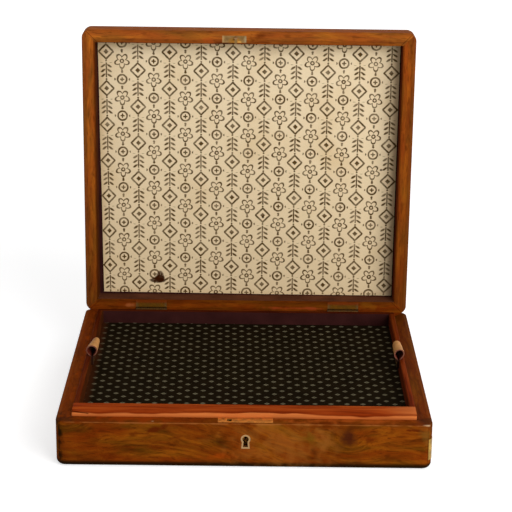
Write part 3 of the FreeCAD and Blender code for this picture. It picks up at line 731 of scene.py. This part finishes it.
class BOX_OT_case_boards(bpy.types.Operator):
    """Finish the base's and the lid's boards in figured walnut"""
    bl_idname = "collector_box.case_boards"
    bl_label = "Case boards"

    def execute(self, context):
        """A mark has a centre and half sizes in millimetres, a lean, a colour, a strength and a softness."""
        look = context.scene.collector_box.walnut
        front = -half_depth_mm
        chip = srgb("#C8A078")
        dark_red = srgb("#541A03")
        corner = srgb("#2A1204")
        left_marks = [
            # Painted shade at the left front corner of the rim.
            ((-152, -132, 40), (14, 14, 4), 0, corner, 0.75, 0.55),
            ((-145.6, -20, 40), (3.4, 150, 3), 0, srgb("#A0440A"), 0.5, 0.5),
        ]
        right_marks = [((152, -129, 40), (10, 12, 3), 0, corner, 0.6, 0.55)]
        front_marks = [
            # Painted sheen: the broad pale patch right of the middle of the front.
            ((33, front, 22), (48, 8, 26), 0, srgb("#9A5E22"), 0.35, 0.7),
            ((66, front, 30), (14, 6, 10), 0, srgb("#9A5A20"), 0.4, 0.6),
            ((85.6, front, 30), (13, 8, 13), 0, look.brown, 0.6, 0.75),
            ((86.6, front, 28.2), (8.5, 6, 6.5), 20, srgb("#34100A"), 0.8, 0.75),
            ((92, front, 38), (9, 6, 3.5), 0, look.dark, 0.5, 0.5),
            ((104.9, front, 26.9), (5, 4, 3), 10, dark_red, 0.75, 0.5),
            ((58.1, front, 14.5), (4, 4, 6), 0, look.dark, 0.6, 0.5),
            ((54.5, front, 27), (7, 5, 8), 0, look.olive, 0.6, 0.6),
            ((-76, front, 33.2), (22, 5, 3), 15, dark_red, 0.8, 0.55),
            ((-57, front, 27), (10, 4, 1.8), 12, dark_red, 0.6, 0.5),
            ((-22.2, front, 10.4), (14, 5, 3.5), 0, srgb("#9A3E08"), 0.6, 0.6),
            ((-112, front, 8.8), (26, 5, 3), 0, dark_red, 0.5, 0.6),
            ((140.9, front, 35.6), (13, 3, 1), -4, dark_red, 0.85, 0.4),
            ((151, front, 30), (5.5, 5, 14), 0, srgb("#6E4A18"), 0.6, 0.5),
            ((-92, -129, 40), (60, 8, 1.2), 0, srgb("#8A3206"), 0.7, 0.5),
            ((88, -129, 40), (66, 8, 1.2), 0, srgb("#A04A16"), 0.7, 0.5),
            ((-75.4, -134.4, 40), (2.2, 1.8, 2), 0, chip, 0.85, 0.3),
            ((152, -136.8, 40), (6, 2.2, 1.6), -6, chip, 0.85, 0.35),
            # Painted shade down the rounded left front corner, and at its top.
            ((-158, front + 4, 20), (10, 20, 60), 0, look.foot, 0.85, 0.35),
            left_marks[0],
            right_marks[0],
        ]
        lid_front_marks = [
            ((8, -131, 40), (10, 6, 3), 0, srgb("#5A2406"), 0.7, 0.6),
            ((-38, -129, 40), (6, 4, 3), 0, srgb("#A04818"), 0.6, 0.6),
            # Painted shadow under the strike plate, along the rail's inner edge.
            ((-11, -126.2, 40), (20, 1.2, 3), 0, look.foot, 0.7, 0.4),
        ]
        lid_back_marks = [
            ((54, 133.4, 40), (34, 1.8, 3), 0, srgb("#A84420"), 0.6, 0.6),
            ((-112, 132, 40), (8, 2.2, 3), 0, srgb("#B86838"), 0.5, 0.6),
            ((120, 131, 40), (12, 4, 3), 0, srgb("#8C5410"), 0.5, 0.6),
        ]
        on_lid = {"opened": True, "waviness": 7}
        # Besides each board's own tone, the shade amounts and ends paint light and shade: the front board
        # darker to the left, the right board darker to the back, and the lid's rails brighter towards the
        # top of the open lid.
        paint(["base_front_board"], walnut(
            "walnut_front_board", look, (31, 7, 12), waviness=16, bold=1.1, shade=0.93, ends=(0.93, 0.97),
            falls=(-60, 96), arris=0.55, knots=[((85.6, front, 27.5), 6.0)], marks=front_marks))
        paint(["base_back_board"], walnut("walnut_back_board", look, (140, 66, 31), rim_red=0.9))
        paint(["base_left_board"], walnut(
            "walnut_left_board", look, (60, 300, 50), across=True, rim_red=0.75, marks=left_marks))
        paint(["base_right_board"], walnut(
            "walnut_right_board", look, (10, 500, 90), across=True, shade=0.7, ends=(1.2, 0.6),
            rim_red=0.25, marks=right_marks))
        paint(["lid_front_rail"], walnut(
            "walnut_lid_front", look, (70, 41, 600), shade=1.5, ends=(1.05, 0.87), rim_red=0.0,
            inner_edge_shade=0.35, outer_edge_shade=0.25, paling=0.22, marks=lid_front_marks, **on_lid))
        paint(["lid_back_rail"], walnut(
            "walnut_lid_back", look, (160, 82, 600), rim_red=0.3, inner_edge_shade=0.3, marks=lid_back_marks,
            **on_lid))
        paint(["lid_left_rail"], walnut(
            "walnut_lid_left", look, (250, 123, 600), across=True, ends=(1.75, 0.72), rim_red=0.0,
            inner_edge_shade=0.75, outer_edge_shade=0.4, paling=0.15, **on_lid))
        paint(["lid_right_rail"], walnut(
            "walnut_lid_right", look, (340, 164, 600), across=True, ends=(1.3, 0.8), rim_red=0.0,
            inner_edge_shade=0.55, outer_edge_shade=0.4, paling=0.1, **on_lid))
        paint(["lid_top_panel"], walnut(
            "walnut_lid_panel", look, (15, 800, 40), opened=True, waviness=24))
        return {"FINISHED"}


class BOX_OT_inner_woodwork(bpy.types.Operator):
    """Finish the bottom, the ledges and the tray's woodwork, and cut the tray's worn front rail"""
    bl_idname = "collector_box.inner_woodwork"
    bl_label = "Inner woodwork"

    def execute(self, context):
        look = context.scene.collector_box.tray_wood
        paint(["base_bottom_board", "tray_ledge_front", "tray_ledge_back", "tray_ledge_left",
               "tray_ledge_right", "tray_floor_board"], plain_softwood("softwood_planed"))
        # Besides each rail's own tone, the shade amounts and ends paint shade: the back and left rails
        # darkened, and the right rail darker towards the back.
        paint(["tray_back_rail"], tray_hardwood("hardwood_tray_back", look, (112, 30, 25), shade=0.18))
        paint(["tray_left_rail"], tray_hardwood(
            "hardwood_tray_left", look, (12, 380, 5), across=True, shade=0.2, ends=(1.7, 0.95)))
        paint(["tray_right_rail"], tray_hardwood(
            "hardwood_tray_right", look, (52, 680, 5), across=True, shade=0.5, ends=(1.3, 0.6)))
        self.cut_front_rail(look)
        return {"FINISHED"}

    def cut_front_rail(self, look):
        """The wide front rail, with a wandering worn arris and a split at its left end."""
        steps = 72
        round_over = 1.3 * MM
        split_lean = math.radians(6)
        split_size = (15.0 * MM, 5.0 * MM, 1.1 * MM)
        low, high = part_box("tray_front_rail")
        floor_low, floor_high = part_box("tray_floor_board")
        piece = block("tray_front_plank", (low + high) / 2, high - low)
        bpy.ops.object.mode_set(mode="EDIT")
        for i in range(1, steps):
            bpy.ops.mesh.select_all(action="SELECT")
            across = low.x + (high.x - low.x) * i / steps
            bpy.ops.mesh.bisect(plane_co=(across, 0, 0), plane_no=(1, 0, 0))
        bpy.ops.mesh.select_all(action="DESELECT")
        bpy.ops.object.mode_set(mode="OBJECT")
        for edge in piece.data.edges:
            ends = [piece.data.vertices[i].co for i in edge.vertices]
            edge.select = all((end - Vector((end.x, low.y, high.z))).length < SAME_PLACE for end in ends)
        bpy.ops.object.mode_set(mode="EDIT")
        bpy.ops.mesh.select_mode(type="EDGE")
        bpy.ops.mesh.bevel(offset=round_over, segments=4, affect="EDGES")
        bpy.ops.object.mode_set(mode="OBJECT")
        for vertex in piece.data.vertices:
            self.wear(vertex.co, low, high)
        self.cut_away(piece, "rabbet_cutter", (0, floor_high.y, (floor_low.z + floor_high.z) / 2),
                      (2 * high.x + 0.01, 2 * (floor_high.y - floor_low.y), floor_high.z - floor_low.z))
        self.cut_away(piece, "split_cutter", (low.x + 6.5 * MM, low.y, high.z - 1.5 * MM), split_size,
                      split_lean)
        apply_modifier(piece, "BEVEL", width=0.35 * MM, segments=2, limit_method="ANGLE")
        settle(piece, "tray", tray_hardwood(
            "hardwood_tray_front", look, (12, 80, 5), front_y=low.y, top_z=high.z))
        bpy.ops.object.shade_smooth_by_angle(angle=SMOOTH_ANGLE)
        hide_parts("tray_front_rail")

    def wear(self, point, low, high):
        """Rub the front upper arris back, by an amount in millimetres that varies along the rail."""
        reach = 3 * MM
        nearness = max(0, 1 - (high.z - point.z) / reach) * max(0, 1 - (point.y - low.y) / reach)
        run = point.x / MM
        amount = 0.22 + 0.13 * math.sin(run / 13.0) + 0.1 * math.sin(run / 4.7 + 1.0)
        point.z -= amount * MM * nearness
        point.y += 0.6 * amount * MM * nearness

    def cut_away(self, piece, name, place, size, lean=0.0):
        """Take a box off a piece."""
        cutter = block(name, place, size, lean)
        apply_modifier(piece, "BOOLEAN", object=cutter, operation="DIFFERENCE", solver="EXACT")
        bpy.data.objects.remove(cutter)


class BOX_OT_papers(bpy.types.Operator):
    """Line the walls and the tray, and lay the printed sheet in the lid"""
    bl_idname = "collector_box.papers"
    bl_label = "Papers"

    def execute(self, context):
        look = context.scene.collector_box.paper
        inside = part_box("tray_patterned_lining")[1].x / MM - 1.0
        paint(["base_floor_lining", "tray_wall_lining"],
              wall_paper("paper_aubergine", look, sides_from=inside))
        paint(["lid_wall_lining"],
              wall_paper("paper_aubergine_lid", look, opened=True, sides_from=inside,
                         hinges_from=half_depth_mm - wall_mm - 1.5))
        paint(["tray_patterned_lining"], patterned_paper("paper_small_flowers", look))
        self.lay_under_sheet(look)
        self.lay_lid_sheet(look)
        return {"FINISHED"}

    def under_board(self, drop):
        """The place of a flat sheet on the open lid's board, with its middle a little off the board."""
        opening = lid_opening()
        ceiling = max((opening.inverted() @ corner).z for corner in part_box("lid_printed_lining"))
        return opening @ Matrix.Translation((0, 0, ceiling - drop))

    def lay_under_sheet(self, look):
        """The dark paper that shows round the printed sheet, flat on the lid's board."""
        thick = 0.06 * MM
        half_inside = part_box("lid_wall_lining")[1].x
        piece = block("lid_under_sheet", (0, 0, 0), (2 * half_inside, 2 * (half_depth - wall), thick))
        piece.matrix_world = self.under_board(thick / 2)
        settle(piece, "lid", wall_paper("paper_under_sheet", look, opened=True))

    def lay_lid_sheet(self, look):
        """A thin sheet on the lid's board, its lower left corner lifting."""
        thick = 0.25 * MM
        off_board = 0.2 * MM
        low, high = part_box("lid_printed_lining")
        half_x = high.x
        half_y = (high.z - low.z) / math.cos(open_angle - math.pi / 2) / 2
        deselect_all()
        bpy.ops.mesh.primitive_grid_add(x_subdivisions=120, y_subdivisions=110, size=1,
                                        location=(0, 0, 0))
        piece = begin("lid_printed_sheet")
        piece.scale = (2 * half_x, 2 * half_y, 1)
        bpy.ops.object.transform_apply(location=False, rotation=False, scale=True)
        for vertex in piece.data.vertices:
            self.bend_sheet(vertex.co, half_x, half_y)
        piece.matrix_world = self.under_board(off_board)
        apply_modifier(piece, "SOLIDIFY", thickness=thick, offset=0)
        settle(piece, "lid",
               printed_paper("paper_printed_cream", look, (half_x, half_y)))
        bpy.ops.object.shade_smooth_by_angle(angle=SMOOTH_ANGLE)
        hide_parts("lid_printed_lining")

    def bend_sheet(self, point, half_x, half_y):
        """Shorten the sheet towards the hinges at the left, and lift that corner off the board."""
        bend_from = 20 * MM
        narrower = 2.9 * MM
        shorter = 1.3 * MM
        ripple = 0.12 * MM
        lift = 1.2 * MM
        towards_left = min(max((bend_from - point.x) / (half_x + bend_from), 0), 1)
        towards_hinge = min(max((point.y + half_y) / (2 * half_y), 0), 1)
        point.x += narrower * towards_left ** 12 * towards_hinge
        point.y -= shorter * towards_left * towards_hinge ** 6
        point.x += ripple * math.sin(point.y / (19 * MM)) * towards_left ** 20
        point.z -= lift * towards_left ** 2 * towards_hinge ** 8


class BOX_OT_pull_loops(bpy.types.Operator):
    """Bend the two leather pull loops, and finish their tacks"""
    bl_idname = "collector_box.pull_loops"
    bl_label = "Pull loops"

    def execute(self, context):
        looks = context.scene.collector_box
        leathers = [strap_leather("leather_" + face, looks.leather, getattr(looks.leather, face))
                    for face in ("grain_side", "flesh_side", "cut_edge")]
        self.bend_loop("left", (5.2 * MM, 3.5 * MM), (-0.3 * MM, 2.6 * MM), leathers)
        self.bend_loop("right", (4.7 * MM, 3.9 * MM), (0.9 * MM, 0.2 * MM), leathers)
        paint(["pull_loop_tacks"], aged_brass("brass_tacks", looks.metal, looks.metal.tarnish))
        return {"FINISHED"}

    def bend_loop(self, side, radii, shifts, leathers):
        """A strap bent from one tail end round the loop to the other.

        Its radius and its lean to the right go from a first value at the front to a last at the back."""
        thick = 1.2 * MM
        neck_angle = math.radians(38)
        low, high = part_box("pull_loop_" + side)
        radius = (high.x - low.x) / 2 - thick / 2
        centre = Vector(((low.x + high.x) / 2, (low.y + high.y) / 2, high.z - radius - thick / 2))
        tail_x = thick / 2
        touch_x = radius * math.cos(neck_angle)
        touch_z = -radius * math.sin(neck_angle)
        neck_z = touch_z - (touch_x - tail_x) / math.tan(neck_angle)
        tail_z = low.z - centre.z
        deselect_all()
        bpy.ops.mesh.primitive_grid_add(x_subdivisions=6, y_subdivisions=24, size=1, location=centre)
        piece = begin("pull_strap_" + side)
        bpy.ops.object.mode_set(mode="EDIT")
        bpy.ops.mesh.select_all(action="SELECT")
        bpy.ops.transform.rotate(value=math.pi / 2, orient_axis="Y", center_override=centre)
        bpy.ops.transform.resize(value=(1, high.y - low.y, neck_z - tail_z), center_override=centre)
        bpy.ops.transform.translate(value=(tail_x, 0, (neck_z + tail_z) / 2))
        self.select_top(piece)
        self.draw_on(touch_x - tail_x, touch_z - neck_z)
        bpy.ops.mesh.spin(steps=40, angle=math.pi + 2 * neck_angle, center=centre, axis=(0, 1, 0))
        self.draw_on(touch_x - tail_x, neck_z - touch_z)
        self.draw_on(0, tail_z - neck_z)
        bpy.ops.mesh.select_all(action="SELECT")
        bpy.ops.mesh.remove_doubles(threshold=SAME_PLACE)
        bpy.ops.mesh.normals_make_consistent(inside=False)
        bpy.ops.object.mode_set(mode="OBJECT")
        bpy.ops.object.transform_apply(location=True, rotation=True, scale=True)
        neck = centre + Vector((0, 0, neck_z))
        for vertex in piece.data.vertices:
            point = vertex.co
            share = (point.y - low.y) / (high.y - low.y)
            if point.z > neck.z + SAME_PLACE:
                grow = (radii[0] + (radii[1] - radii[0]) * share - thick / 2) / radius
                bearing = math.atan2(point.x - centre.x, point.z - centre.z)
                grow += 0.02 * math.sin(9 * share + 2 * bearing)
                shift = shifts[0] + (shifts[1] - shifts[0]) * share
                lean = shift * (point.z - neck.z) / (high.z - neck.z)
                point.x = neck.x + (point.x - neck.x) * grow + lean
                point.z = neck.z + (point.z - neck.z) * (0.7 + 0.3 * grow)
        for leather in leathers:
            piece.data.materials.append(leather)
        apply_modifier(piece, "SOLIDIFY", thickness=thick, offset=0, material_offset=1,
                       material_offset_rim=2, use_even_offset=True)
        apply_modifier(piece, "BEVEL", width=0.25 * MM, segments=2, limit_method="ANGLE")
        settle(piece, "tray")
        bpy.ops.object.shade_smooth_by_angle(angle=math.radians(40))
        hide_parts("pull_loop_" + side)

    def draw_on(self, right, up):
        """Draw the strap on from its selected end."""
        bpy.ops.mesh.extrude_region_move(TRANSFORM_OT_translate={"value": (right, 0, up)})

    def select_top(self, piece):
        """Select the upper row of the strap, ready to be drawn on."""
        bpy.ops.mesh.select_mode(type="VERT")
        bpy.ops.mesh.select_all(action="DESELECT")
        bpy.ops.object.mode_set(mode="OBJECT")
        top = max(vertex.co.z for vertex in piece.data.vertices)
        for vertex in piece.data.vertices:
            vertex.select = abs(vertex.co.z - top) < SAME_PLACE
        bpy.ops.object.mode_set(mode="EDIT")


class BOX_OT_fittings(bpy.types.Operator):
    """Finish the lock, the strike, the hinges and the corner guard"""
    bl_idname = "collector_box.fittings"
    bl_label = "Fittings"

    def execute(self, context):
        """A rub has a centre and half sizes in millimetres, a colour and a strength."""
        look = context.scene.collector_box.metal
        rubs = [((-13.5, -128.5, rim_mm), (7.0, 4.0, 5.0), srgb("#9E6A20"), 0.85),
                ((-9.0, -127.5, rim_mm), (2.5, 1.6, 5.0), srgb("#BC8C42"), 0.8),
                ((-13.5, -129.8, rim_mm), (2.6, 0.9, 5.0), srgb("#4E2E08"), 0.85),
                ((-25.5, -130.0, rim_mm), (3.0, 6.0, 5.0), srgb("#A48252"), 0.7),
                ((-3.5, -130.0, rim_mm), (1.6, 4.0, 5.0), srgb("#968463"), 0.6)]
        # The upper part of each lid leaf is painted red-brown.
        reddened_leaf_tops = [((x, 127.0, rim_mm), (60.0, 3.6, 8.0), srgb("#8E3C0C"), 0.9) for x in (-92.5, 94.5)]
        paint(["lock_face_plate", "lock_screws"], aged_brass("brass_lock", look, look.selvage))
        paint(["strike_plate", "strike_staple", "strike_screws"],
              aged_brass("brass_strike", look, look.brass, opened=True, rubs=rubs))
        paint(["hinge_left_base_leaf", "hinge_right_base_leaf", "hinge_screws_base"],
              aged_brass("brass_hinge_base", look, look.leaf, knuckled=True))
        paint(["hinge_left_lid_leaf", "hinge_right_lid_leaf", "hinge_screws_lid"],
              aged_brass("brass_hinge_lid", look, look.leaf, opened=True, knuckled=True, rubs=reddened_leaf_tops))
        paint(["corner_guard", "corner_guard_pins"], aged_brass("brass_corner", look, look.guard))
        paint(["keyhole_escutcheon"], plain_metal("nickel_silver_worn", look.nickel_silver, 0.35))
        paint(["lock_bolt", "lock_bolt_spring", "hinge_left_pin", "hinge_right_pin"],
              plain_metal("steel_filed", look.steel, 0.4))
        paint(["lock_case"], plain_metal("brass_browned", look.browned, 0.6))
        paint(["lock_key_pin"], plain_metal("steel_browned", look.browned, 0.6))
        return {"FINISHED"}


class BOX_OT_studio(bpy.types.Operator):
    """Set up the floor, the lamps, the surroundings and the camera"""
    bl_idname = "collector_box.studio"
    bl_label = "Studio"

    def execute(self, context):
        look = context.scene.collector_box.studio
        self.lay_floor()
        self.hang_lamps(look)
        self.set_surroundings(context, look)
        self.place_camera(context, look)
        context.scene.view_settings.view_transform = "Standard"
        return {"FINISHED"}

    def lay_floor(self):
        """A pale floor that keeps the box's shadow and runs out to white."""
        near = 0.5
        far = 3.5
        deselect_all()
        bpy.ops.mesh.primitive_plane_add(size=40, location=(0, 0, 0))
        floor = begin("studio_floor")
        material, add = new_material("studio_white")
        off = add("VectorMath.LENGTH", add("TexCoord").outputs["Object"])
        paleness = add("MapRange", off, near, far, 0.6, 1.0)
        seen = add("MULTIPLY", shown_rays(add), paleness)
        add("OutputMaterial", add(
            "BsdfPrincipled", Base_Color=srgb("#D8D8D8"), Roughness=0.9, Specular_IOR_Level=0.0,
            Emission_Color=srgb("#FFFFFF"), Emission_Strength=seen))
        floor.data.materials.append(material)

    def hang_lamps(self, look):
        """Square lamps, each with its place, size and power, turned towards the box."""
        aim = Vector((0, 0, 0.1))
        lamps = {
            "lamp_right_front": ((1.3, -1.5, 1.0), 1.8, look.key_power),
            "lamp_overhead": ((-0.1, 0.2, 1.9), 1.2, look.top_power),
            "lamp_behind": ((0.2, 1.6, 1.2), 1.0, look.back_power),
        }
        for name, (place, size, power) in lamps.items():
            deselect_all()
            bpy.ops.object.light_add(type="AREA", location=place)
            lamp = bpy.context.object
            lamp.name = name
            lamp.data.size = size
            lamp.data.energy = power
            lamp.rotation_mode = "QUATERNION"
            lamp.rotation_quaternion = (aim - Vector(place)).to_track_quat("-Z", "Y")

    def set_surroundings(self, context, look):
        """White to the eye, and a soft fill on the object."""
        world = bpy.data.worlds.new("studio_surroundings")
        world.use_nodes = True
        world.node_tree.nodes.clear()
        add = partial(add_node, world.node_tree)
        strength = add("MapRange", shown_rays(add), 0.0, 1.0, look.fill, 1.0)
        add("OutputWorld", add("Background", srgb("#FFFFFF"), strength))
        context.scene.world = world

    def place_camera(self, context, look):
        """The photo's camera, set by its place and three angles."""
        deselect_all()
        bpy.ops.object.camera_add()
        camera = bpy.context.object
        camera.name = "studio_camera"
        camera.data.lens = look.focal_length
        camera.data.sensor_width = 36
        yaw, pitch, roll = look.camera_yaw, look.camera_pitch, look.camera_roll
        forward = math.cos(pitch)
        ahead = Vector((math.sin(yaw) * forward, math.cos(yaw) * forward, -math.sin(pitch)))
        level = Vector((math.cos(yaw), -math.sin(yaw), 0))
        upright = level.cross(ahead)
        right = level * math.cos(roll) + upright * math.sin(roll)
        up = upright * math.cos(roll) - level * math.sin(roll)
        turn = Matrix((right, up, -ahead)).transposed().to_4x4()
        camera.matrix_world = Matrix.Translation(look.camera_place) @ turn
        context.scene.camera = camera


class BOX_PT_finishes(bpy.types.Panel):
    """The box's finishes and the buttons that lay them"""
    bl_idname = "BOX_PT_finishes"
    bl_label = "Collector Box"
    bl_space_type = "VIEW_3D"
    bl_region_type = "UI"
    bl_category = "Collector Box"

    def draw(self, context):
        looks = context.scene.collector_box
        for group in ("walnut", "tray_wood", "paper", "leather", "metal", "studio"):
            shelf = self.layout.box()
            shelf.label(text=group.replace("_", " ").capitalize())
            settings = getattr(looks, group)
            for name in settings.bl_rna.properties.keys():
                if name not in ("rna_type", "name"):
                    shelf.prop(settings, name)
        for operator in OPERATORS:
            self.layout.operator(operator.bl_idname)


OPERATORS = (BOX_OT_case_boards, BOX_OT_inner_woodwork, BOX_OT_papers, BOX_OT_pull_loops,
             BOX_OT_fittings, BOX_OT_studio)
CLASSES = (WalnutLook, TrayWoodLook, PaperLook, LeatherLook, MetalLook, StudioLook, BoxLook,
           *OPERATORS, BOX_PT_finishes)


def register():
    for made in CLASSES:
        bpy.utils.register_class(made)
    bpy.types.Scene.collector_box = PointerProperty(type=BoxLook)


def unregister():
    del bpy.types.Scene.collector_box
    for made in reversed(CLASSES):
        bpy.utils.unregister_class(made)


def main():
    register()
    for operator in OPERATORS:
        group, name = operator.bl_idname.split(".")
        getattr(getattr(bpy.ops, group), name)()


if __name__ == "__main__":
    main()
